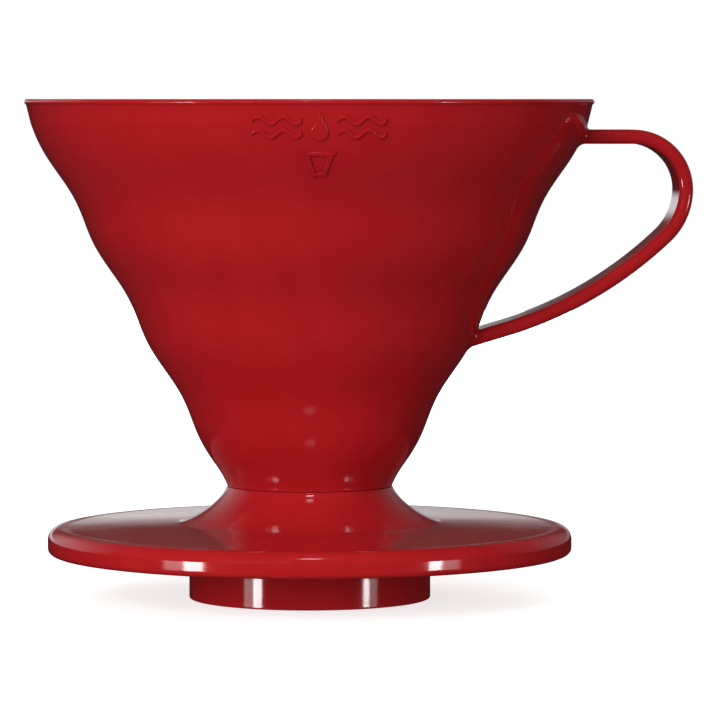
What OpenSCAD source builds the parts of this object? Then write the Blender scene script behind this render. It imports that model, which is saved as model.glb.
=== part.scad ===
// Single-cup pour-over dripper: a waved cone with a loop handle and spiral ribs inside,
// seated on a round base with a flared collar, a saucer plate and a locating ring.
// Millimetres, +Z up, axis of the cone on Z, origin at the foot of the locating ring, handle along +X.

/* [Cone] */
// Outer radius of the rim
rim_r = 58; // [46:0.5:70]
// Height of the rim above the foot of the ring
rim_z = 102; // [84:0.5:124]
// Wall thickness at the rim, measured level
rim_wall = 2.2; // [1.6:0.1:3.6]
// Height of the straight band under the rim
band_h = 5; // [3:0.5:8]
// Radial growth of the band from its foot to the rim
band_flare = 1.3; // [0.4:0.1:2.5]
// Height from one wave of the wall to the next
wave_pitch = 20.1; // [14:0.05:26]
// Height of a wave above and below the straight wall
wave_depth = 0.54; // [0:0.02:1.2]
// Height above the seam over which the lowest wave grows to its full depth
wave_fade = 5; // [1:0.5:12]

/* [Outlet] */
// Radius of the outlet bore
outlet_r = 10; // [7.5:0.1:13]
// Wall of the outlet neck that plugs into the base
neck_wall = 3.4; // [2.4:0.1:4.4]
// Reach of the neck below the plate's underside
neck_drop = 4.2; // [2:0.1:8]
// Radial running clearance of the neck in the collar
neck_gap = 0.08; // [0.02:0.01:0.1]
// Gap between the cone's shoulder and the collar
seam_gap = 0.05; // [0.02:0.01:0.2]

/* [Ribs] */
// Number of long ribs, with one short rib between each two
rib_count = 12; // [6:1:16]
// Turn of a long rib from its top to the outlet, in degrees
rib_twist = 74; // [30:1:110]
// Height of a rib over the wall
rib_h = 1.7; // [1:0.1:2.4]
// Width of a rib at its foot
rib_w = 2; // [1.2:0.1:2.6]

/* [Handle] */
// Thickness of the handle band
handle_t = 2.9; // [2.4:0.1:4.5]
// Width of the handle band
handle_w = 14.5; // [9:0.5:17]
// Height of the band's outer face over the top arm, below the rim
handle_drop = 6.2; // [5:0.1:12]
// Straight reach of the top arm, beyond the rim's radius
handle_reach = 7.7; // [4:0.1:14]
// Radius of the top bend, outer face
bend_top_r = 12.2; // [9:0.1:16]
// Radius of the outer bend, outer face
bend_side_r = 14.5; // [10:0.1:18]
// Radius of the long lower bend, outer face
bend_low_r = 82.5; // [60:0.5:120]

/* [Base] */
// Outer radius of the plate
plate_r = 53.6; // [44:0.1:66]
// Height of the plate's underside over the foot of the ring, where a cup's rim rests
plate_under_z = 12.2; // [10:0.1:15]
// Thickness of the plate at its edge
plate_t = 2.4; // [1.8:0.1:3.2]
// Rise of the plate's top from its edge to the collar
plate_rise = 0.9; // [0:0.1:2]
// Depth of the skirt below the plate's underside
skirt_drop = 2.9; // [1.6:0.1:4]
// Wall of the plate's skirt
skirt_wall = 2.4; // [1.6:0.1:3.4]
// Height of the collar from the plate to the seam
collar_h = 7.5; // [6:0.1:10]
// Level width of the collar's top face, from the socket outwards
collar_lip = 3.3; // [2.4:0.1:5]
// Radial step from the locating ring to the collar's foot on the plate
foot_step = 2.3; // [1.5:0.1:5]
// Wall of the socket that holds the neck
socket_wall = 2; // [1.4:0.1:2.2]
// Reach of the socket below the plate's underside
socket_drop = 2.6; // [1:0.1:4]
// Outer radius of the locating ring
ring_r = 24.7; // [20.5:0.1:30]
// Wall of the locating ring
ring_wall = 2; // [1.4:0.1:2.6]
// Number of webs between the socket and the ring
web_count = 4; // [2:1:8]
// Thickness of a web
web_t = 1.6; // [1:0.1:2.4]
// Reach of a web below the plate's underside
web_drop = 8.2; // [4:0.1:9]

/* [Mark] */
// Height of the raised mark over the wall
mark_h = 0.5; // [0.2:0.05:0.8]
// Width of the raised mark
mark_w = 26; // [16:1:30]
// Height of the middle of the raised mark, below the rim
mark_drop = 5.4; // [4:0.1:9]

/* [Hidden] */
RED = "firebrick";
FN = 96;
EPS = 0.01;

// Levels of the base, and the seam on top of its collar.
plate_edge_z = plate_under_z + plate_t;
plate_foot_z = plate_edge_z + plate_rise;
seam_z = plate_foot_z + collar_h;
neck_foot_z = plate_under_z - neck_drop;
socket_foot_z = plate_under_z - socket_drop;
skirt_foot_z = plate_under_z - skirt_drop;
web_foot_z = plate_under_z - web_drop;

// Neck, socket and waist.
neck_r = outlet_r + neck_wall;
socket_r = neck_r + neck_gap;
socket_outer_r = socket_r + socket_wall;
waist_r = socket_r + collar_lip;

// Cone wall: a straight line from the waist to the band, with a wave laid over it.
band_z = rim_z - band_h;
band_r = rim_r - band_flare;
wall_slope = (band_r - waist_r) / (band_z - seam_z);
wave_zero_z = band_z - 1.5 * wave_pitch;
wall_step = 1.6;
rim_round = 0.7;
function wave_share(z) = max(0, min(1, (z - seam_z) / wave_fade));
function wall_r(z) = waist_r + wall_slope * (z - seam_z)
    + wave_depth * wave_share(z) * sin(360 * (z - wave_zero_z) / wave_pitch);
wall_foot_z = seam_z + seam_gap;
wall_steps = ceil((band_z - wall_foot_z) / wall_step);
wall_outline = [for (i = [0 : wall_steps])
    let (z = wall_foot_z + (band_z - wall_foot_z) * i / wall_steps) [wall_r(z), z]];
rim_outline = [for (a = [0 : 22.5 : 90])
    [rim_r - rim_round + rim_round * cos(a), rim_z - rim_round + rim_round * sin(a)]];
outer_outline = concat(wall_outline, rim_outline);

// Inner cone: from the rim's inner edge straight to the throat, where the outlet bore starts.
mouth_r = rim_r - rim_wall;
throat_drop = 0.6;
throat_z = seam_z - throat_drop;
inner_slope = (mouth_r - outlet_r) / (rim_z - throat_z);
function inner_r(z) = outlet_r + inner_slope * (z - throat_z);

// Collar, plate and ring.
collar_top_r = wall_r(wall_foot_z);
collar_foot_r = ring_r + foot_step;
flare_power = 1.4;
flare_steps = 14;
ring_inner_r = ring_r - ring_wall;
skirt_inner_r = plate_r - skirt_wall;
skirt_round = 1.2;

// Handle: the band's outer face as a line and three arcs that turn the same way.
arm_z = rim_z - handle_drop;
arm_x = rim_r + handle_reach;
arm_sink = 4;
arm_start_x = wall_r(arm_z - handle_t) - arm_sink;
side_turn = 46.5;
handle_corner = 1;
root_len = 5;
root_flare = 1.2;

module revolve(points) {
    rotate_extrude($fn = FN) polygon(points);
}

// The solid that the outer wall bounds, filled to the axis.
module cone_envelope() {
    revolve(concat([[0, wall_foot_z]], outer_outline, [[0, rim_z]]));
}

module cone_wall() {
    mouth_round = 0.6;
    color(RED) revolve(concat(
        [[inner_r(wall_foot_z), wall_foot_z]],
        outer_outline,
        [[mouth_r + mouth_round, rim_z], [inner_r(rim_z - mouth_round), rim_z - mouth_round]]));
}

module outlet_neck() {
    edge = 0.5;
    color(RED) revolve([
        [outlet_r, neck_foot_z], [neck_r - edge, neck_foot_z], [neck_r, neck_foot_z + edge],
        [neck_r, wall_foot_z], [inner_r(wall_foot_z), wall_foot_z], [outlet_r, throat_z]]);
}

// One ring of a rib's cross-section: foot, two shoulders and two crest points, at height z and turn a.
function rib_ring(z, a, h) =
    let (r = inner_r(z), foot = rib_w / 2, crest = rib_w / 4, sink = 0.12)
    [for (p = [[-foot, -sink], [-foot * 0.8, h * 0.6], [-crest, h],
               [crest, h], [foot * 0.8, h * 0.6], [foot, -sink]])
        [(r - p[1]) * cos(a + p[0] / r * 180 / PI), (r - p[1]) * sin(a + p[0] / r * 180 / PI), z]];

// Closed skin over a list of rings with the same number of points.
module skin(rings) {
    n = len(rings[0]);
    last = len(rings) - 1;
    points = [for (ring = rings) for (p = ring) p];
    sides = [for (i = [0 : last - 1]) for (j = [0 : n - 1])
        each [[i * n + j, i * n + (j + 1) % n, (i + 1) * n + j],
              [i * n + (j + 1) % n, (i + 1) * n + (j + 1) % n, (i + 1) * n + j]]];
    polyhedron(points = points, faces = concat(
        [[for (j = [n - 1 : -1 : 0]) j]], sides, [[for (j = [0 : n - 1]) last * n + j]]));
}

// Ribs that start at top_z and end at foot_z; a rib turns evenly with the height along the cone.
module ribs(top_z, foot_z, first_turn) {
    steps = 12;
    end_h = 0.25;
    taper_steps = 1.5;
    turn_per_mm = rib_twist / (long_top_z - long_foot_z);
    for (k = [0 : rib_count - 1])
        skin([for (i = [0 : steps])
            let (t = i / steps,
                 z = foot_z + (top_z - foot_z) * t,
                 h = rib_h * max(end_h, min(1, min(t, 1 - t) * steps / taper_steps)))
            rib_ring(z, first_turn + k * 360 / rib_count + (z - long_foot_z) * turn_per_mm, h)]);
}

rib_top_drop = 9;
rib_foot_rise = 1.5;
long_top_z = rim_z - rib_top_drop;
long_foot_z = throat_z + rib_foot_rise;
short_foot_z = (long_foot_z + long_top_z) / 2;

module long_ribs() {
    color(RED) ribs(long_top_z, long_foot_z, 0);
}

module short_ribs() {
    color(RED) ribs(long_top_z, short_foot_z, 180 / rib_count);
}

// Band section at one place on the outer face; heading 0 points along +X and turns towards -Z.
function band_ring(x, z, heading, grow) =
    let (t = handle_t + grow, w = handle_w + 2 * grow, c = handle_corner,
         nx = sin(heading), nz = cos(heading),
         arc = [for (a = [0 : 30 : 90]) [c * cos(a), c * sin(a)]])
    [for (q = [[1, 1], [-1, 1], [-1, -1], [1, -1]])
        let (flip = q[0] * q[1] < 0)
        for (i = [0 : 3])
            let (p = arc[flip ? 3 - i : i],
                 u = q[0] * (t / 2 - c + p[0]) - handle_t / 2,
                 v = q[1] * (w / 2 - c + p[1]))
            [x + nx * u, v, z + nz * u]];

module handle() {
    side_x = arm_x + bend_top_r - bend_side_r;
    bend_z = arm_z - bend_top_r;
    low_x = side_x + (bend_side_r - bend_low_r) * cos(side_turn);
    low_z = bend_z - (bend_side_r - bend_low_r) * sin(side_turn);
    // The low bend turns on, a degree at a time, until its outer face is well inside the cone's wall.
    sunk = 1.5;
    most_turn = 90;
    function low_end(a) =
        (a >= most_turn || low_x + bend_low_r * cos(a) < wall_r(low_z - bend_low_r * sin(a)) - sunk)
        ? a : low_end(a + 1);
    low_turn = low_end(side_turn) - side_turn;
    arm = [for (i = [0 : 4])
        let (x = arm_start_x + (arm_x - arm_start_x) * i / 5)
        band_ring(x, arm_z, 0, root_flare * max(0, 1 - (x - arm_start_x) / (2 * root_len)))];
    top = [for (a = [0 : 9 : 81])
        band_ring(arm_x + bend_top_r * sin(a), bend_z + bend_top_r * cos(a), a, 0)];
    side = [for (a = [0 : 9 : side_turn - 1])
        band_ring(side_x + bend_side_r * cos(a), bend_z - bend_side_r * sin(a), 90 + a, 0)];
    low = [for (i = [0 : 14])
        let (a = side_turn + low_turn * i / 14,
             grow = root_flare * max(0, (i - 11) / 3))
        band_ring(low_x + bend_low_r * cos(a), low_z - bend_low_r * sin(a), 90 + a, grow)];
    color(RED) difference() {
        skin(concat(arm, top, side, low));
        cone_envelope();
    }
}

// Flat drawing of the raised mark: a drop between waves, and a small cup below it.
module drop_2d(r, tip) {
    tangent = acos(r / tip);
    circle(r = r, $fn = 32);
    polygon([[-r * sin(tangent), r * cos(tangent)], [r * sin(tangent), r * cos(tangent)], [0, tip]]);
}

module wave_2d(length, stroke) {
    bumps = 2;
    steps = 24;
    rise = 0.7;
    top = [for (i = [0 : steps])
        [length * (i / steps - 0.5), rise * sin(360 * bumps * i / steps) + stroke / 2]];
    low = [for (i = [steps : -1 : 0])
        [length * (i / steps - 0.5), rise * sin(360 * bumps * i / steps) - stroke / 2]];
    polygon(concat(top, low));
}

module cup_2d(top_w, foot_w, height) {
    polygon([[-top_w / 2, height / 2], [top_w / 2, height / 2],
             [foot_w / 2, -height / 2], [-foot_w / 2, -height / 2]]);
}

module raised_mark() {
    stroke = 0.9;
    drop_r = 1.8;
    drop_tip = 3.8;
    drop_lower = 0.9;
    cup_top_w = 6;
    cup_foot_w = 2.8;
    cup_h = 4.8;
    cup_lower = 7.2;
    wave_gap = 1.6;
    row_step = 1.3;
    wave_len = mark_w / 2 - drop_r - wave_gap;
    wave_x = mark_w / 2 - wave_len / 2;
    color(RED) intersection() {
        translate([0, -waist_r, rim_z - mark_drop]) rotate([90, 0, 0])
            linear_extrude(rim_r - waist_r + 2 * mark_h) {
                translate([0, -drop_lower]) drop_2d(drop_r, drop_tip);
                for (side = [-1, 1], row = [-1, 1])
                    translate([side * wave_x, row * row_step]) wave_2d(wave_len, stroke);
                translate([0, -cup_lower]) difference() {
                    cup_2d(cup_top_w, cup_foot_w, cup_h);
                    offset(delta = -stroke) cup_2d(cup_top_w, cup_foot_w, cup_h);
                }
            }
        difference() {
            revolve(concat([[0, wall_foot_z]], [for (p = outer_outline) [p[0] + mark_h, p[1]]], [[0, rim_z]]));
            cone_envelope();
        }
    }
}

// Flared outside of the collar, from the seam to the plate.
function flare_point(t) = [
    collar_foot_r - (collar_foot_r - collar_top_r) * pow(cos(t), 2 / flare_power),
    seam_z - (seam_z - plate_foot_z) * pow(sin(t), 2 / flare_power)];

// Height of the collar's underside at a radius inside the plate.
under_top_drop = 3.6;
under_rise = (seam_z - plate_under_z - under_top_drop) / (ring_r - socket_outer_r);
function under_z(r) = plate_under_z + max(0, ring_r - r) * under_rise;

module base_collar() {
    color(RED) revolve(concat(
        [[socket_r, socket_foot_z], [socket_outer_r, socket_foot_z],
         [socket_outer_r, under_z(socket_outer_r)], [ring_r, plate_under_z],
         [collar_foot_r, plate_under_z]],
        [for (i = [flare_steps : -1 : 0]) flare_point(90 * i / flare_steps)],
        [[socket_r, seam_z]]));
}

module base_plate() {
    color(RED) revolve([[collar_foot_r, plate_under_z], [skirt_inner_r, plate_under_z],
                        [skirt_inner_r, plate_edge_z], [collar_foot_r, plate_foot_z]]);
}

module plate_skirt() {
    color(RED) revolve(concat(
        [[skirt_inner_r, skirt_foot_z]],
        [for (a = [-90 : 22.5 : 0])
            [plate_r - skirt_round + skirt_round * cos(a), skirt_foot_z + skirt_round + skirt_round * sin(a)]],
        [for (a = [0 : 15 : 90])
            [skirt_inner_r + skirt_wall * cos(a), plate_edge_z - skirt_wall + skirt_wall * sin(a)]]));
}

module locating_ring() {
    color(RED) revolve([[ring_inner_r, 0], [ring_r, 0], [ring_r, plate_under_z],
                        [ring_inner_r, under_z(ring_inner_r)]]);
}

module socket_webs() {
    web_slope_in = 2;
    first_turn = 45;
    color(RED) intersection() {
        for (k = [0 : web_count - 1])
            rotate([0, 0, first_turn + k * 360 / web_count]) rotate([90, 0, 0])
                translate([0, 0, -web_t / 2]) linear_extrude(web_t)
                    polygon([[socket_r, socket_foot_z], [ring_inner_r - web_slope_in, web_foot_z],
                             [ring_r, web_foot_z], [ring_r, plate_under_z],
                             [socket_outer_r, under_z(socket_outer_r)],
                             [socket_r, under_z(socket_outer_r)]]);
        difference() {
            cylinder(r = ring_inner_r, h = seam_z, $fn = FN);
            translate([0, 0, -EPS]) cylinder(r = socket_outer_r, h = seam_z + 2 * EPS, $fn = FN);
        }
    }
}

cone_wall();
outlet_neck();
long_ribs();
short_ribs();
raised_mark();
handle();
base_collar();
base_plate();
plate_skirt();
locating_ring();
socket_webs();
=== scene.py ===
"""Pour-over dripper: the looks of the cone moulding and the base moulding, built around the CAD frame.

Shapes are given in millimetres, in the frame's own axes, and become metres as they are made.
"""
import math

import bpy
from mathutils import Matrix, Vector


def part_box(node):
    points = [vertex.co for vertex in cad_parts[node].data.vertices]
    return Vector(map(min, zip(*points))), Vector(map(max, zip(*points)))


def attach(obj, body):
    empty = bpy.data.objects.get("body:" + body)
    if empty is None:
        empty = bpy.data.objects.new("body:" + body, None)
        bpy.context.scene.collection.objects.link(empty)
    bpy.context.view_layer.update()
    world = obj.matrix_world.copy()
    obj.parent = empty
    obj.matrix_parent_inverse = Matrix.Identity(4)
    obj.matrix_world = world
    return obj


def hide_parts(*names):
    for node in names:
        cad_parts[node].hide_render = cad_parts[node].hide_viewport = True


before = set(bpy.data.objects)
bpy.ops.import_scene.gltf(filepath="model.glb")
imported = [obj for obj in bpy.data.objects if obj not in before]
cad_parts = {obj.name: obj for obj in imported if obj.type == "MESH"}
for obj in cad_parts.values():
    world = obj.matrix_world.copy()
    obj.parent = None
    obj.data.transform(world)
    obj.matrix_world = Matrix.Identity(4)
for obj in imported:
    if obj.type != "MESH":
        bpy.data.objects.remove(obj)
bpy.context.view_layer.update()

MM = 0.001


def node_box(name):
    """Lowest and highest corner of a CAD node, in millimetres."""
    low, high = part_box(name)
    return [c / MM for c in low], [c / MM for c in high]


# ---------------------------------------------------------------- sizes, from the frame
WALL_LOW, WALL_HIGH = node_box("cone_wall")
NECK_LOW, NECK_HIGH = node_box("outlet_neck")
COLLAR_LOW, COLLAR_HIGH = node_box("base_collar")
PLATE_LOW, PLATE_HIGH = node_box("base_plate")
SKIRT_LOW, SKIRT_HIGH = node_box("plate_skirt")
RING_HIGH = node_box("locating_ring")[1]
WEB_LOW = node_box("socket_webs")[0]
RIB_LOW, RIB_HIGH = node_box("long_ribs")
SHORT_LOW, SHORT_HIGH = node_box("short_ribs")

RIM_R = WALL_HIGH[0]
RIM_Z = WALL_HIGH[2]
FOOT_Z = WALL_LOW[2]            # lower face of the cone's wall, on the seam
SEAM_Z = COLLAR_HIGH[2]
RIM_WALL = 2.2
BAND_H = 5.0
BAND_FLARE = 1.3
LIP_PROUD = 0.36                # the rolled lip stands this far out from the band
LIP_H = 1.15
WAVE_PITCH = 20.1
WAVE_DEPTH = 0.54
WAVE_FADE = 5.0
NECK_R = NECK_HIGH[0]
NECK_WALL = 3.4
NECK_FOOT_Z = NECK_LOW[2]
OUTLET_R = NECK_R - NECK_WALL
NECK_GAP = 0.08
COLLAR_LIP = 3.3
THROAT_DROP = 0.6
SOCKET_R = NECK_R + NECK_GAP
SOCKET_WALL = 2.0
SOCKET_FOOT_Z = COLLAR_LOW[2]
WAIST_R = SOCKET_R + COLLAR_LIP
PLATE_R = SKIRT_HIGH[0]
PLATE_UNDER_Z = PLATE_LOW[2]
PLATE_FOOT_Z = PLATE_HIGH[2]    # top of the plate where the collar starts
PLATE_EDGE_Z = SKIRT_HIGH[2]    # top of the plate at its edge
COLLAR_FOOT_R = COLLAR_HIGH[0]
SKIRT_FOOT_Z = SKIRT_LOW[2]
SKIRT_WALL = 2.4
SKIRT_IN_R = PLATE_R - SKIRT_WALL
RING_R = RING_HIGH[0]
RING_WALL = 2.0
UNDER_TOP_DROP = 3.6
FLARE_POWER = 1.4
HANDLE_T = 2.9
HANDLE_W = 14.5
HANDLE_DROP = 6.2
HANDLE_REACH = 7.7
BEND_TOP_R = 12.2
BEND_SIDE_R = 14.5
BEND_LOW_R = 82.5
SIDE_TURN = 46.5
RIB_COUNT = 12
RIB_TWIST = 74
RIB_H = 1.7
RIB_W = 2.0
WEB_COUNT = 4
WEB_T = 1.6
MARK_W = 26.0
MARK_DROP = 5.4
MARK_H = 0.5
WAVE_BUMPS = 2

BAND_Z = RIM_Z - BAND_H
BAND_R = RIM_R - BAND_FLARE
WALL_SLOPE = (BAND_R - WAIST_R) / (BAND_Z - SEAM_Z)
WAVE_ZERO_Z = BAND_Z - 1.5 * WAVE_PITCH
MOUTH_R = RIM_R - RIM_WALL
THROAT_Z = SEAM_Z - THROAT_DROP
INNER_SLOPE = (MOUTH_R - OUTLET_R) / (RIM_Z - THROAT_Z)
SPIN_STEPS = 240


def wall_r(z):
    """Radius of the waved outer wall at a height, up to the straight band under the rim."""
    if z > BAND_Z:
        return BAND_R + (RIM_R - LIP_PROUD - BAND_R) * min(1, (z - BAND_Z) / (BAND_H - LIP_H))
    share = max(0, min(1, (z - SEAM_Z) / WAVE_FADE))
    wave = WAVE_DEPTH * share * math.sin(2 * math.pi * (z - WAVE_ZERO_Z) / WAVE_PITCH)
    return WAIST_R + WALL_SLOPE * (z - SEAM_Z) + wave


def inner_r(z):
    """Radius of the smooth inner cone at a height."""
    return OUTLET_R + INNER_SLOPE * (z - THROAT_Z)


def spaced(low, high, count):
    """Evenly spaced values from low to high, both included."""
    return [low + (high - low) * i / count for i in range(count + 1)]


def arc(cx, cz, radius, start, end, steps):
    """Points on an arc in the radius-height plane, angles in degrees."""
    return [(cx + radius * math.cos(math.radians(a)), cz + radius * math.sin(math.radians(a)))
            for a in spaced(start, end, steps)]


# ---------------------------------------------------------------- modelling helpers
def deselect_all():
    if bpy.context.object and bpy.context.object.mode != "OBJECT":
        bpy.ops.object.mode_set(mode="OBJECT")
    bpy.ops.object.select_all(action="DESELECT")


def edit(mode="VERT"):
    bpy.ops.object.mode_set(mode="EDIT")
    bpy.ops.mesh.select_mode(type=mode)


def leave():
    bpy.ops.object.mode_set(mode="OBJECT")


def pick(piece, kind, test):
    """Selects the vertices, edges or faces that pass the test; it gets their places in millimetres.

    The select mode is set before edit mode, or else corners picked with an edge spread to its neighbours.
    """
    leave()
    mesh = piece.data
    for group in (mesh.vertices, mesh.edges, mesh.polygons):
        group.foreach_set("select", [False] * len(group))
    spots = [v.co / MM for v in mesh.vertices]
    if kind == "VERT":
        for v in mesh.vertices:
            v.select = test(spots[v.index])
    elif kind == "EDGE":
        for e in mesh.edges:
            a, b = (spots[i] for i in e.vertices)
            e.select = test(a, b)
    else:
        for f in mesh.polygons:
            middle = sum((spots[i] for i in f.vertices), Vector()) / len(f.vertices)
            f.select = test(middle, f.normal)
    bpy.context.tool_settings.mesh_select_mode = [kind == mode for mode in ("VERT", "EDGE", "FACE")]
    edit(kind)


def settle(piece, name, smooth_angle=40, flats=False):
    """Names a finished piece, puts its place into its mesh and smooths it.

    With flats, wide faces set the shading beside them, so that a straight wall reflects straight.
    """
    leave()
    piece.name = name
    piece.data.name = name
    bpy.ops.object.transform_apply(location=True, rotation=True, scale=True)
    bpy.ops.object.shade_smooth_by_angle(angle=math.radians(smooth_angle))
    if flats:
        flat_first = piece.modifiers.new("flat_first", "WEIGHTED_NORMAL")
        flat_first.keep_sharp = True
        bpy.ops.object.modifier_apply(modifier=flat_first.name)
    return piece


def outward():
    """Merges the doubles of the active piece and turns every face outwards."""
    edit()
    bpy.ops.mesh.select_all(action="SELECT")
    bpy.ops.mesh.remove_doubles(threshold=0.0005 * MM)
    bpy.ops.mesh.normals_make_consistent(inside=False)
    leave()


def turned(name, outline, smooth_angle=40):
    """A moulding turned about the axis: one corner drawn round the closed outline, then spun."""
    deselect_all()
    first = outline[0]
    bpy.ops.mesh.primitive_plane_add(size=MM, location=(first[0] * MM, 0, first[1] * MM))
    piece = bpy.context.object
    bpy.ops.object.transform_apply(location=True, rotation=True, scale=True)
    edit()
    bpy.ops.mesh.select_all(action="SELECT")
    bpy.ops.mesh.merge(type="CENTER")
    here = first
    for there in list(outline[1:]) + [first]:
        step = ((there[0] - here[0]) * MM, 0, (there[1] - here[1]) * MM)
        bpy.ops.mesh.extrude_region_move(TRANSFORM_OT_translate={"value": step})
        here = there
    bpy.ops.mesh.select_all(action="SELECT")
    bpy.ops.mesh.remove_doubles(threshold=0.0005 * MM)
    bpy.ops.mesh.select_all(action="SELECT")
    bpy.ops.mesh.spin(steps=SPIN_STEPS, angle=2 * math.pi, center=(0, 0, 0), axis=(0, 0, 1))
    leave()
    outward()
    return settle(piece, name, smooth_angle, flats=True)


# ---------------------------------------------------------------- the cone moulding
def make_cone():
    shoulder = 0.18
    lip_round = LIP_H / 2
    mouth_round = 0.6
    throat_round = 0.8
    foot_edge = 0.5
    shoulder_r = wall_r(FOOT_Z + shoulder)
    wall = [(wall_r(z), z) for z in spaced(FOOT_Z + shoulder, BAND_Z, 96)]
    band = [(wall_r(z), z) for z in spaced(BAND_Z + 0.4, RIM_Z - LIP_H - 0.1, 8)]
    rim = arc(RIM_R - lip_round, RIM_Z - lip_round, lip_round, -60, 90, 12)
    mouth = arc(MOUTH_R + mouth_round, RIM_Z - mouth_round, mouth_round, 90, 180, 5)
    inside = [(inner_r(z), z) for z in spaced(RIM_Z - 2 * mouth_round, THROAT_Z + throat_round, 36)]
    bore = [(OUTLET_R, z) for z in spaced(THROAT_Z - throat_round, NECK_FOOT_Z + foot_edge, 6)]
    foot = arc(OUTLET_R + foot_edge, NECK_FOOT_Z + foot_edge, foot_edge, 180, 270, 4)
    foot += arc(NECK_R - foot_edge, NECK_FOOT_Z + foot_edge, foot_edge, 270, 360, 4)
    neck = [(NECK_R, FOOT_Z)]
    edge = arc(shoulder_r - shoulder, FOOT_Z + shoulder, shoulder, 270, 345, 5)
    return turned("cone_shell", wall + band + rim + mouth + inside + bore + foot + neck + edge)


def flare_point(t):
    """Point of the collar's flared outside; t runs from 0 at the seam to 90 at the plate."""
    top_r = wall_r(FOOT_Z) + 0.15
    return (COLLAR_FOOT_R - (COLLAR_FOOT_R - top_r) * math.cos(math.radians(t)) ** (2 / FLARE_POWER),
            SEAM_Z - (SEAM_Z - PLATE_FOOT_Z) * math.sin(math.radians(t)) ** (2 / FLARE_POWER))


def plate_top(r):
    """Height of the plate's top face, which falls gently from the collar to the edge."""
    return PLATE_EDGE_Z + (PLATE_FOOT_Z - PLATE_EDGE_Z) * (SKIRT_IN_R - r) / (SKIRT_IN_R - COLLAR_FOOT_R)


def make_base():
    lip = 0.3
    edge = 0.4
    fillet = 0.8
    skirt_round = 1.2
    dish_w = 1.8
    dish_rise = 0.06
    socket_outer = SOCKET_R + SOCKET_WALL
    under_rise = (SEAM_Z - PLATE_UNDER_Z - UNDER_TOP_DROP) / (RING_R - socket_outer)
    ring_in = RING_R - RING_WALL
    flare = [flare_point(t) for t in spaced(4, 90, 30)]
    top_lip = arc(flare[0][0] - lip, SEAM_Z - lip, lip, 90, 15, 6)
    plate = [(r, plate_top(r)) for r in spaced(COLLAR_FOOT_R + 1, SKIRT_IN_R - dish_w, 12)]
    plate += [(r, plate_top(r) + dish_rise * (r - SKIRT_IN_R + dish_w) / dish_w)
              for r in spaced(SKIRT_IN_R - dish_w + 0.3, SKIRT_IN_R, 4)]
    side = [(SKIRT_IN_R + SKIRT_WALL * math.cos(math.radians(a)),
             PLATE_EDGE_Z - SKIRT_WALL + (SKIRT_WALL + dish_rise) * math.sin(math.radians(a)))
            for a in spaced(82, 0, 12)]
    side += arc(PLATE_R - skirt_round, SKIRT_FOOT_Z + skirt_round, skirt_round, 0, -90, 6)
    hem = arc(SKIRT_IN_R + edge, SKIRT_FOOT_Z + edge, edge, 270, 180, 4)
    under = arc(SKIRT_IN_R - fillet, PLATE_UNDER_Z - fillet, fillet, 0, 90, 5)
    under += arc(RING_R + fillet, PLATE_UNDER_Z - fillet, fillet, 90, 180, 5)
    ring = arc(RING_R - edge, edge, edge, 0, -90, 5) + arc(ring_in + edge, edge, edge, 270, 180, 4)
    hollow = [(ring_in, PLATE_UNDER_Z + RING_WALL * under_rise),
              (socket_outer, PLATE_UNDER_Z + (RING_R - socket_outer) * under_rise)]
    socket = arc(socket_outer - edge, SOCKET_FOOT_Z + edge, edge, 0, -90, 4)
    socket += arc(SOCKET_R + edge, SOCKET_FOOT_Z + edge, edge, 270, 180, 4)
    socket += arc(SOCKET_R + edge, SEAM_Z - edge, edge, 180, 90, 4)
    return turned("base_shell", socket + top_lip + flare + plate + side + hem + under + ring + hollow)


# ---------------------------------------------------------------- the handle
def reach_wall(spot, way):
    """Distance from a spot to the cone's outer wall, going along way; found by halving."""
    near, far = -20.0, 30.0
    for _ in range(40):
        middle = (near + far) / 2
        there = spot + way * middle
        if math.hypot(there.x, there.y) > wall_r(there.z):
            near = middle
        else:
            far = middle
    return near


def blend_into_wall(piece, way, across, corner):
    """Carries the selected end face of the band into the cone's wall with a hollow fillet."""
    fillet = 1.1
    steps = 8
    sink = 0.5
    core_t = HANDLE_T / 2 - corner
    core_w = HANDLE_W / 2 - corner
    leave()
    mesh = piece.data
    ring = [v.index for v in mesh.vertices if v.select]
    spots = [mesh.vertices[i].co / MM for i in ring]
    middle = sum(spots, Vector()) / len(spots)
    outs = []
    for spot in spots:
        u = max(-core_t, min(core_t, (spot - middle).dot(across)))
        v = max(-core_w, min(core_w, spot.y))
        outs.append((spot - middle - across * u - Vector((0, v, 0))).normalized())
    now = [spot + way * (reach_wall(spot, way) - fillet) for spot in spots]
    for i, spot in zip(ring, now):
        mesh.vertices[i].co = spot * MM
    for k in range(1, steps + 2):
        turn = math.radians(90 * min(k, steps) / steps)
        out = fillet * (1 - math.cos(turn))
        height = fillet * (1 - math.sin(turn)) if k <= steps else -sink
        edit("FACE")
        bpy.ops.mesh.extrude_region_move(TRANSFORM_OT_translate={"value": (0, 0, 0)})
        leave()
        following = list(now)
        for v in [v for v in mesh.vertices if v.select]:
            j = min(range(len(now)), key=lambda n: (now[n] - v.co / MM).length)
            base_spot = spots[j] + outs[j] * out
            following[j] = base_spot + way * (reach_wall(base_spot, way) - height)
            v.co = following[j] * MM
        now = following


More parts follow.
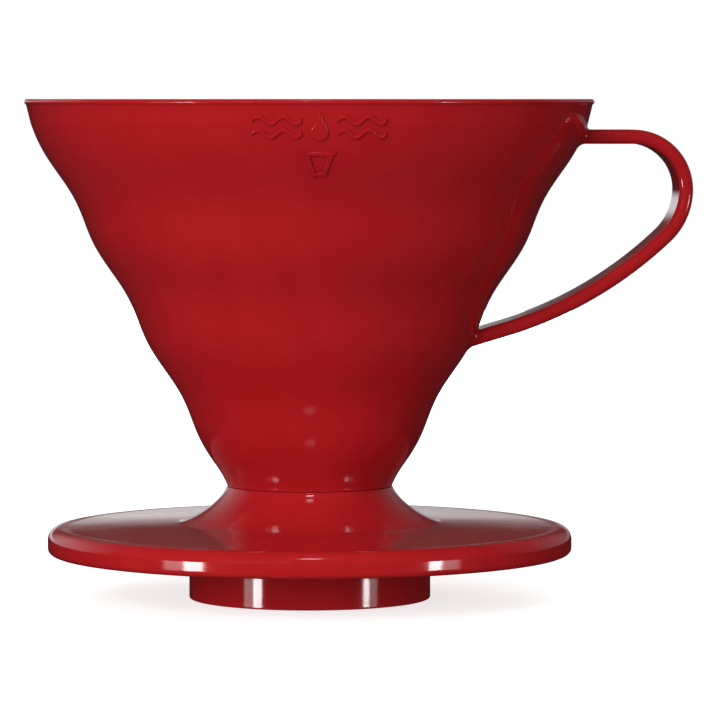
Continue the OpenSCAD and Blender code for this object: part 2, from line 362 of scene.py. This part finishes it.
def make_handle():
    """The band: a rounded section drawn out along the top arm and spun round three bends."""
    corner = 1.3
    root_gap = 4.0
    arm_z = RIM_Z - HANDLE_DROP
    arm_x = RIM_R + HANDLE_REACH
    start_x = wall_r(arm_z) + root_gap
    bend_z = arm_z - BEND_TOP_R
    side_x = arm_x + BEND_TOP_R - BEND_SIDE_R
    side = math.radians(SIDE_TURN)
    low_x = side_x + (BEND_SIDE_R - BEND_LOW_R) * math.cos(side)
    low_z = bend_z - (BEND_SIDE_R - BEND_LOW_R) * math.sin(side)
    low_turn = 27
    deselect_all()
    bpy.ops.mesh.primitive_plane_add(size=1, rotation=(0, math.pi / 2, 0),
                                     location=(start_x * MM, 0, (arm_z - HANDLE_T / 2) * MM))
    piece = bpy.context.object
    piece.scale = (HANDLE_T * MM, HANDLE_W * MM, 1)
    bpy.ops.object.transform_apply(location=True, rotation=True, scale=True)
    edit()
    bpy.ops.mesh.select_all(action="SELECT")
    bpy.ops.mesh.bevel(affect="VERTICES", offset=corner * MM, segments=7)
    bpy.ops.mesh.select_mode(type="FACE")
    bpy.ops.mesh.select_all(action="SELECT")
    arm_steps = 6
    for _ in range(arm_steps):
        step = (arm_x - start_x) / arm_steps * MM
        bpy.ops.mesh.extrude_region_move(TRANSFORM_OT_translate={"value": (step, 0, 0)})
    bends = ((26, 90, arm_x, bend_z), (14, SIDE_TURN, side_x, bend_z), (24, low_turn, low_x, low_z))
    for steps, turn, x, z in bends:
        bpy.ops.mesh.spin(steps=steps, angle=-math.radians(turn), center=(x * MM, 0, z * MM), axis=(0, 1, 0))
    end = math.radians(SIDE_TURN + low_turn)
    way = Vector((-math.sin(end), 0, -math.cos(end)))
    across = Vector((math.cos(end), 0, -math.sin(end)))
    blend_into_wall(piece, way, across, corner)
    pick(piece, "FACE", lambda c, n: abs(c.x - start_x) < 0.01 and abs(n.x) > 0.9)
    blend_into_wall(piece, Vector((-1, 0, 0)), Vector((0, 0, 1)), corner)
    outward()
    return settle(piece, "handle_loop", 50, flats=True)


# ---------------------------------------------------------------- ribs inside the cone
def make_rib(name, low_z, high_z, first_turn):
    """One spiral rib: a straight bar with a rounded crest, laid along the inner cone."""
    cuts = 55
    crest = 0.75
    sink = 0.3
    tip = 0.045
    length = 100.0
    turn_per_mm = math.radians(RIB_TWIST) / (RIB_HIGH[2] - RIB_LOW[2])
    deselect_all()
    bpy.ops.mesh.primitive_cube_add(size=1, location=(0, 0, (RIB_H - sink) / 2 * MM))
    piece = bpy.context.object
    piece.scale = (length * MM, RIB_W * MM, (RIB_H + sink) * MM)
    bpy.ops.object.transform_apply(location=True, rotation=True, scale=True)
    pick(piece, "EDGE", lambda a, b: abs(a.x - b.x) > 1)
    bpy.ops.mesh.subdivide(number_cuts=cuts)
    pick(piece, "EDGE", lambda a, b: abs(a.x - b.x) > 1 and a.z > 0 and b.z > 0)
    bpy.ops.mesh.bevel(offset=crest * MM, segments=5, profile=0.5)
    leave()
    for v in piece.data.vertices:
        x, y, up = v.co / MM
        t = x / length + 0.5
        z = low_z + (high_z - low_z) * t
        ease = min(1, t / tip, (1 - t) / tip)
        rise = up if up < 0 else up * math.sin(math.pi / 2 * max(0.02, ease))
        r = inner_r(z) - rise
        turn = first_turn + (z - RIB_LOW[2]) * turn_per_mm + y * (0.45 + 0.55 * ease) / r
        v.co = Vector((r * math.cos(turn), r * math.sin(turn), z)) * MM
    outward()
    return settle(piece, name, 50)


def copied_round(first, name, count):
    """The first piece and its copies, evenly spaced round the axis, each with its own mesh."""
    made = [first]
    for k in range(1, count):
        deselect_all()
        first.select_set(True)
        bpy.context.view_layer.objects.active = first
        bpy.ops.object.duplicate(linked=False)
        piece = bpy.context.object
        piece.rotation_euler = (0, 0, 2 * math.pi * k / count)
        bpy.ops.object.transform_apply(location=True, rotation=True, scale=True)
        piece.name = f"{name}_{k + 1:02d}"
        piece.data.name = piece.name
        made.append(piece)
    first.name = f"{name}_01"
    first.data.name = first.name
    return made


# ---------------------------------------------------------------- the raised mark
def lay_on_wall(piece, name, x, z):
    """Wraps a flat shape, drawn in the level plane and raised along Z, round the front of the cone."""
    leave()
    bpy.ops.object.transform_apply(location=True, rotation=True, scale=True)
    for v in piece.data.vertices:
        across, up, proud = v.co / MM
        spot_z = z + up
        spot_x = x + across
        r = wall_r(spot_z) + proud
        v.co = Vector((spot_x, -math.sqrt(r * r - spot_x * spot_x), spot_z)) * MM
    outward()
    return settle(piece, name, 35)


def raise_shape():
    """Gives the active flat shape its height, with a rounded top edge, and sinks its foot into the wall."""
    edge = 0.3
    sink = 0.15
    edit("FACE")
    bpy.ops.mesh.select_all(action="SELECT")
    bpy.ops.transform.translate(value=(0, 0, -sink * MM))
    bpy.ops.mesh.extrude_region_move(TRANSFORM_OT_translate={"value": (0, 0, (MARK_H + sink) * MM)})
    bpy.ops.mesh.region_to_loop()
    bpy.ops.mesh.bevel(offset=edge * MM, segments=5, profile=0.5)


def make_mark():
    """A drop between waves, and a small cup below it."""
    stroke = 0.9
    drop_r = 1.8
    drop_tip = 3.8
    drop_lower = 0.9
    cup_top_w = 6.0
    cup_foot_w = 2.8
    cup_h = 4.8
    cup_lower = 7.2
    cup_round = 0.55
    wave_gap = 1.6
    wave_rise = 0.7
    row_step = 1.3
    middle_z = RIM_Z - MARK_DROP
    wave_len = MARK_W / 2 - drop_r - wave_gap
    wave_x = MARK_W / 2 - wave_len / 2
    made = []
    deselect_all()
    bpy.ops.mesh.primitive_circle_add(vertices=40, radius=drop_r * MM, fill_type="TRIFAN")
    piece = bpy.context.object
    for v in piece.data.vertices:
        up = max(0, v.co.y / MM / drop_r)
        v.co.x *= 1 - 0.45 * up ** 1.5
        v.co.y *= 1 + (drop_tip / drop_r - 1) * up ** 3
    raise_shape()
    made.append(lay_on_wall(piece, "mark_drop", 0, middle_z - drop_lower))
    for side, row, word in ((-1, 1, "left_upper"), (-1, -1, "left_lower"),
                            (1, 1, "right_upper"), (1, -1, "right_lower")):
        deselect_all()
        bpy.ops.mesh.primitive_grid_add(x_subdivisions=60, y_subdivisions=2, size=1)
        piece = bpy.context.object
        piece.scale = (wave_len * MM, stroke * MM, 1)
        bpy.ops.object.transform_apply(location=True, rotation=True, scale=True)
        for v in piece.data.vertices:
            v.co.y += wave_rise * MM * math.sin(2 * math.pi * WAVE_BUMPS * (v.co.x / MM / wave_len + 0.5))
        raise_shape()
        made.append(lay_on_wall(piece, "mark_wave_" + word, side * wave_x, middle_z + row * row_step))
    deselect_all()
    bpy.ops.mesh.primitive_grid_add(x_subdivisions=8, y_subdivisions=8, size=1)
    piece = bpy.context.object
    piece.scale = (cup_top_w * MM, cup_h * MM, 1)
    bpy.ops.object.transform_apply(location=True, rotation=True, scale=True)
    for v in piece.data.vertices:
        down = 0.5 - v.co.y / MM / cup_h
        v.co.x *= 1 - (1 - cup_foot_w / cup_top_w) * down
    edit("FACE")
    bpy.ops.mesh.select_all(action="SELECT")
    bpy.ops.mesh.inset(thickness=stroke * MM, use_boundary=True)
    bpy.ops.mesh.delete(type="FACE")
    corners = cup_h / 2 - 0.01
    pick(piece, "VERT", lambda c: abs(c.y) > corners
         and abs(c.x) > (cup_top_w if c.y > 0 else cup_foot_w) / 2 - 0.01)
    bpy.ops.mesh.bevel(affect="VERTICES", offset=cup_round * MM, segments=4)
    raise_shape()
    made.append(lay_on_wall(piece, "mark_cup", 0, middle_z - cup_lower))
    return made


# ---------------------------------------------------------------- webs under the collar
def make_webs():
    socket_outer = SOCKET_R + SOCKET_WALL
    ring_in = RING_R - RING_WALL
    under_rise = (SEAM_Z - PLATE_UNDER_Z - UNDER_TOP_DROP) / (RING_R - socket_outer)
    sink = 0.4
    low_r, high_r = socket_outer - sink, ring_in + sink
    deselect_all()
    bpy.ops.mesh.primitive_cube_add(size=1)
    piece = bpy.context.object
    for v in piece.data.vertices:
        r = low_r if v.co.x < 0 else high_r
        top = PLATE_UNDER_Z + (RING_R - r) * under_rise + sink
        low = SOCKET_FOOT_Z + 0.4 if v.co.x < 0 else WEB_LOW[2]
        v.co = Vector((r, math.copysign(WEB_T / 2, v.co.y), top if v.co.z > 0 else low)) * MM
    pick(piece, "EDGE", lambda a, b: a.z < PLATE_UNDER_Z and b.z < PLATE_UNDER_Z and a.y * b.y > 0)
    bpy.ops.mesh.bevel(offset=0.35 * MM, segments=3)
    outward()
    leave()
    piece.rotation_euler = (0, 0, math.radians(45))
    settle(piece, "web", 35)
    return copied_round(piece, "web", WEB_COUNT)


cone = make_cone()
base = make_base()
handle = make_handle()
long_rib = make_rib("long_rib", RIB_LOW[2], RIB_HIGH[2], 0)
long_ribs = copied_round(long_rib, "long_rib", RIB_COUNT)
short_rib = make_rib("short_rib", SHORT_LOW[2], SHORT_HIGH[2], math.pi / RIB_COUNT)
short_ribs = copied_round(short_rib, "short_rib", RIB_COUNT)
mark = make_mark()
webs = make_webs()

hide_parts("cone_wall", "outlet_neck")
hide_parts("handle")
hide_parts("long_ribs")
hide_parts("short_ribs")
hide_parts("raised_mark")
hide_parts("base_collar", "base_plate", "plate_skirt", "locating_ring")
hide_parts("socket_webs")
for piece in [cone, handle] + long_ribs + short_ribs + mark:
    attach(piece, "cone")
for piece in [base] + webs:
    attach(piece, "base")


# ---------------------------------------------------------------- materials
def linear(code, alpha=1.0):
    """Linear colour of an sRGB hex code."""
    parts = [int(code[i:i + 2], 16) / 255 for i in (1, 3, 5)]
    return [c / 12.92 if c <= 0.04045 else ((c + 0.055) / 1.055) ** 2.4 for c in parts] + [alpha]


def add(tree, kind, values=None, **settings):
    """Adds a node with its settings; values are sockets to link from, or numbers and colours."""
    made = tree.nodes.new("ShaderNode" + kind)
    for key, value in settings.items():
        setattr(made, key, value)
    for key, value in (values or {}).items():
        if isinstance(value, bpy.types.NodeSocket):
            tree.links.new(value, made.inputs[key])
        else:
            made.inputs[key].default_value = value
    return made


def grain(size_mm):
    """Texture scale at which a pattern repeats about every size_mm."""
    return 1 / (size_mm * MM)


def red_san(name, deep, bright, gloss, marks, relief, worn_low_mm=None, worn_high_mm=None):
    """SAN resin, red all through and injection moulded: deep colour under a hard clear gloss.

    The pigment clouds a little where the melt flowed; the mould's polish leaves a faint swell in the
    reflections; marks draws the fine marks of the mould; edges that are set down or knocked turn dull.
    """
    paint = bpy.data.materials.new(name)
    paint.use_nodes = True
    tree = paint.node_tree
    tree.nodes.clear()
    spot = add(tree, "TexCoord").outputs["Object"]
    cloud = add(tree, "TexNoise", {"Vector": spot, "Scale": grain(34), "Detail": 3.0, "Distortion": 0.8})
    flow_way = add(tree, "Mapping", {"Vector": spot, "Scale": (1, 1, 0.12)})
    flow = add(tree, "TexNoise", {"Vector": flow_way.outputs["Vector"], "Scale": grain(6), "Detail": 2.0})
    pigment = add(tree, "Math", {0: cloud.outputs["Fac"], 1: flow.outputs["Fac"]},
                  operation="MULTIPLY")
    tone = add(tree, "ValToRGB", {"Fac": pigment.outputs["Value"]})
    tone.color_ramp.elements[0].position = 0.12
    tone.color_ramp.elements[0].color = linear(deep)
    tone.color_ramp.elements[1].position = 0.42
    tone.color_ramp.elements[1].color = linear(bright)
    haze = add(tree, "TexNoise", {"Vector": spot, "Scale": grain(9), "Detail": 6.0, "Roughness": 0.7})
    dull = add(tree, "MapRange", {"Value": haze.outputs["Fac"], "From Min": 0.35, "From Max": 0.75,
                                  "To Min": gloss, "To Max": gloss + 0.05})
    rough = dull.outputs["Result"]
    if worn_low_mm is not None:
        height = add(tree, "SeparateXYZ", {"Vector": spot}).outputs["Z"]
        near = add(tree, "MapRange", {"Value": height, "From Min": worn_low_mm * MM,
                                      "From Max": worn_high_mm * MM}, interpolation_type="SMOOTHSTEP")
        chafe = add(tree, "TexNoise", {"Vector": spot, "Scale": grain(1.6), "Detail": 8.0, "Roughness": 0.75})
        worn = add(tree, "Math", {0: near.outputs["Result"], 1: chafe.outputs["Fac"]}, operation="MULTIPLY")
        rough = add(tree, "MapRange", {"Value": worn.outputs["Value"], "From Min": 0.2, "From Max": 0.7,
                                       "To Min": rough, "To Max": 0.42}).outputs["Result"]
    swell = add(tree, "TexNoise", {"Vector": spot, "Scale": grain(16), "Detail": 0.0})
    hill = add(tree, "Bump", {"Height": swell.outputs["Fac"], "Strength": 1.0, "Distance": 0.05 * MM})
    mould = marks(tree, spot)
    fine = add(tree, "Bump", {"Height": mould, "Strength": 1.0, "Distance": relief * MM,
                              "Normal": hill.outputs["Normal"]})
    shader = add(tree, "BsdfPrincipled", {"Base Color": tone.outputs["Color"], "Roughness": rough,
                                          "IOR": 1.57, "Normal": fine.outputs["Normal"]})
    out = add(tree, "OutputMaterial", {"Surface": shader.outputs["BSDF"]})
    out.location = (400, 0)
    return paint


def polish_grain(tree, spot):
    """Hand-polished steel: a very fine pebble, the orange peel of a glossy moulding."""
    return add(tree, "TexNoise", {"Vector": spot, "Scale": grain(1.4), "Detail": 3.0}).outputs["Fac"]


def draw_lines(tree, spot):
    """A core polished along its draw: fine lines that run from the rim to the outlet."""
    around = add(tree, "TexGradient", {"Vector": spot}, gradient_type="RADIAL")
    lines = add(tree, "TexNoise", noise_dimensions="1D")
    lines.inputs["Scale"].default_value = 900.0
    tree.links.new(around.outputs["Fac"], lines.inputs["W"])
    return lines.outputs["Fac"]


def lathe_lines(tree, spot):
    """A cavity turned on a lathe: uneven rings about the axis, drawn 0.9 mm apart so that they show."""
    flat = add(tree, "VectorMath", {0: spot, 1: (1, 1, 0)}, operation="MULTIPLY")
    radius = add(tree, "VectorMath", {0: flat.outputs["Vector"]}, operation="LENGTH")
    height = add(tree, "SeparateXYZ", {"Vector": spot}).outputs["Z"]
    path = add(tree, "Math", {0: radius.outputs["Value"], 1: height}, operation="ADD")
    rings = add(tree, "TexNoise", noise_dimensions="1D")
    rings.inputs["Scale"].default_value = grain(0.9)
    tree.links.new(path.outputs["Value"], rings.inputs["W"])
    pebble = add(tree, "TexNoise", {"Vector": spot, "Scale": grain(2.2), "Detail": 2.0})
    both = add(tree, "Math", {0: pebble.outputs["Fac"], 1: 1.2, 2: rings.outputs["Fac"]},
               operation="MULTIPLY_ADD")
    return both.outputs["Value"]


def spark_pits(tree, spot):
    """A spark-eroded face: a tight field of round pits about 0.4 mm across, which dulls the gloss."""
    pits = add(tree, "TexVoronoi", {"Vector": spot, "Scale": grain(0.4)}, feature="SMOOTH_F1")
    return pits.outputs["Distance"]


def second_face(piece, paint, test):
    """Gives the faces that pass the test the piece's second material."""
    piece.data.materials.append(paint)
    for f in piece.data.polygons:
        middle = f.center / MM
        if test(middle, f.normal):
            f.material_index = 1


RIM_WORN = 1.2                  # height of the band at the rim that use has dulled
MOUTH_WORN = 2.5                # the same inside, where a paper filter folds over
FOOT_WORN = 0.9                 # the same at the foot of the ring
WEB_FOOT_WORN = 0.6

outer = red_san("polished_moulded_san", "#A4181D", "#AB1C20", 0.07, polish_grain, 0.002,
                RIM_Z - RIM_WORN, RIM_Z)
# painted shade: the handle's red is set slightly deeper than the cone's, to sit with it in this light
band = red_san("handle_painted_shade_san", "#99171B", "#A21A1D", 0.07, polish_grain, 0.002)
core = red_san("core_polished_san", "#9A161C", "#A3191F", 0.14, draw_lines, 0.002,
               RIM_Z - MOUTH_WORN, RIM_Z)
crest = red_san("mark_polished_san", "#A4181D", "#AB1C20", 0.06, polish_grain, 0.002)
turned_face = red_san("lathe_turned_mould_san", "#A5181D", "#AD1D20", 0.07, lathe_lines, 0.004,
                      FOOT_WORN, 0.0)
sparked = red_san("spark_eroded_san", "#97161C", "#A0191F", 0.34, spark_pits, 0.03,
                  WEB_FOOT_WORN, 0.0)

cone.data.materials.append(outer)
second_face(cone, core, lambda c, n: n.x * c.x + n.y * c.y < 0 and c.z < RIM_Z - 0.3)
base.data.materials.append(turned_face)
second_face(base, sparked, lambda c, n: n.z < -0.95 or (n.x * c.x + n.y * c.y < 0 and c.z < SEAM_Z - 1))
handle.data.materials.append(band)
for piece in long_ribs + short_ribs:
    piece.data.materials.append(core)
for piece in mark:
    piece.data.materials.append(crest)
for piece in webs:
    piece.data.materials.append(sparked)


# ---------------------------------------------------------------- camera, light and floor
CAMERA_DISTANCE = 0.91
CAMERA_Z = 0.102
CAMERA_TURN = -2.0
AIM_X = 0.0103
AIM_Z = 0.0487
FIELD_MM = 147.0
SENSOR_MM = 36.0
DARK = (0.012, 0.012, 0.014, 1)
# brightness that the gloss mirrors; the place is the sine of the height above level, plus 0.1
MIRROR_BANDS = ((0.162, 1.15), (0.198, 0.04), (0.44, 0.14), (0.6, 0.12), (0.86, 0.03))


def make_camera():
    turn = math.radians(CAMERA_TURN)
    spot = Vector((math.sin(turn) * CAMERA_DISTANCE, -math.cos(turn) * CAMERA_DISTANCE, CAMERA_Z))
    data = bpy.data.cameras.new("camera")
    data.sensor_width = SENSOR_MM
    data.lens = SENSOR_MM * CAMERA_DISTANCE / (FIELD_MM * MM)
    data.clip_end = 20
    camera = bpy.data.objects.new("camera", data)
    camera.location = spot
    camera.rotation_euler = (Vector((AIM_X, 0, AIM_Z)) - spot).to_track_quat("-Z", "Y").to_euler()
    bpy.context.collection.objects.link(camera)
    bpy.context.scene.camera = camera


def soft_light(name, azimuth, elevation, distance, width, height, radiance, mirrored=True):
    """A softbox; azimuth is in degrees round from the camera's side, elevation above the object's middle."""
    turn, lift = math.radians(azimuth), math.radians(elevation)
    middle = Vector((0, 0, 0.02))
    data = bpy.data.lights.new(name, "AREA")
    data.shape = "RECTANGLE"
    data.size = width
    data.size_y = height
    data.energy = radiance * math.pi * width * height
    light = bpy.data.objects.new(name, data)
    way = Vector((math.sin(turn) * math.cos(lift), -math.cos(turn) * math.cos(lift), math.sin(lift)))
    light.location = middle + way * distance
    light.rotation_euler = (-way).to_track_quat("-Z", "Y").to_euler()
    light.visible_camera = False
    light.visible_glossy = mirrored
    light.visible_diffuse = not mirrored
    bpy.context.collection.objects.link(light)
    return light


def make_floor():
    deselect_all()
    bpy.ops.mesh.primitive_plane_add(size=8, location=(0, 0, 0))
    floor = bpy.context.object
    floor.name = "floor"
    floor.visible_glossy = False
    floor.visible_diffuse = False
    floor.visible_shadow = False
    paint = bpy.data.materials.new("matt_white_board")
    paint.use_nodes = True
    shader = paint.node_tree.nodes["Principled BSDF"]
    shader.inputs["Base Color"].default_value = linear("#F2F2F2")
    shader.inputs["Roughness"].default_value = 0.9
    shader.inputs["Specular IOR Level"].default_value = 0.0
    shader.inputs["Emission Color"].default_value = linear("#FFFFFF")
    shader.inputs["Emission Strength"].default_value = 0.72
    floor.data.materials.append(paint)


def make_world():
    """White to the eye; its mirror image is a bright low band behind the object and dark elsewhere."""
    world = bpy.data.worlds.new("studio")
    bpy.context.scene.world = world
    world.cycles.sampling_method = "NONE"
    world.use_nodes = True
    tree = world.node_tree
    tree.nodes.clear()
    path = add(tree, "LightPath")
    way = add(tree, "SeparateXYZ", {"Vector": add(tree, "TexCoord").outputs["Generated"]})
    height = add(tree, "MapRange", {"Value": way.outputs["Z"], "From Min": -0.1, "From Max": 0.9})
    low_band = add(tree, "ValToRGB", {"Fac": height.outputs["Result"]})
    stops = low_band.color_ramp.elements
    stops[0].position = 0.085
    stops[0].color = DARK
    stops[1].position = 0.115
    stops[1].color = (0.98, 1.02, 1.08, 1)
    for place, level in MIRROR_BANDS:
        stop = stops.new(place)
        stop.color = (level, level, level, 1)
    aside = add(tree, "Math", {0: way.outputs["X"]}, operation="ABSOLUTE")
    far_side = add(tree, "MapRange", {"Value": aside.outputs["Value"], "From Min": 0.2, "From Max": 0.5})
    under_top = add(tree, "MapRange", {"Value": way.outputs["Z"], "From Min": 0.7, "From Max": 0.3})
    above = add(tree, "MapRange", {"Value": way.outputs["Z"], "From Min": -0.01, "From Max": 0.02})
    tall = add(tree, "Math", {0: far_side.outputs["Result"], 1: under_top.outputs["Result"]},
               operation="MULTIPLY")
    tall = add(tree, "Math", {0: tall.outputs["Value"], 1: above.outputs["Result"]}, operation="MULTIPLY")
    wall = add(tree, "Mix", {0: tall.outputs["Value"], 6: low_band.outputs["Color"],
                             7: (0.62, 0.64, 0.68, 1)}, data_type="RGBA")
    behind = add(tree, "MapRange", {"Value": way.outputs["Y"], "From Min": 0.1, "From Max": 0.6,
                                    "To Min": 0.05, "To Max": 1.0})
    side = add(tree, "MapRange", {"Value": way.outputs["X"], "From Min": -0.2, "From Max": 0.2,
                                  "To Min": 1.15, "To Max": 0.35})
    share = add(tree, "Math", {0: behind.outputs["Result"], 1: side.outputs["Result"]}, operation="MULTIPLY")
    mirror = add(tree, "Mix", {0: share.outputs["Value"], 6: DARK, 7: wall.outputs[2]}, data_type="RGBA")
    ambient = add(tree, "Mix", {0: path.outputs["Is Glossy Ray"], 6: (0.33, 0.33, 0.33, 1),
                                7: mirror.outputs[2]}, data_type="RGBA")
    eye = add(tree, "Mix", {0: path.outputs["Is Camera Ray"], 6: ambient.outputs[2], 7: (1, 1, 1, 1)},
              data_type="RGBA")
    back = add(tree, "Background", {"Color": eye.outputs[2]})
    add(tree, "OutputWorld", {"Surface": back.outputs["Background"]})


make_camera()
make_world()
make_floor()
soft_light("key_panel", -27, 14, 1.2, 0.7, 0.7, 8.0, mirrored=False)
soft_light("top_panel", 0, 60, 1.2, 0.6, 0.4, 3, mirrored=False)
soft_light("fill_panel", 60, 10, 1.2, 0.4, 0.4, 2, mirrored=False)
soft_light("back_panel", 165, 12, 1.2, 0.7, 0.7, 6, mirrored=False)
soft_light("left_strip", -52, -4.5, 1.0, 0.15, 0.13, 20)
soft_light("left_spill", -60, -4.5, 1.02, 0.22, 0.13, 3)
soft_light("right_strip", 52.5, -4.5, 1.0, 0.10, 0.13, 20)
soft_light("right_spill", 59, -4.5, 1.02, 0.18, 0.13, 2.5)
soft_light("top_front_box", -1.5, 47, 1.0, 0.13, 0.08, 13)
bpy.context.scene.view_settings.view_transform = "Standard"
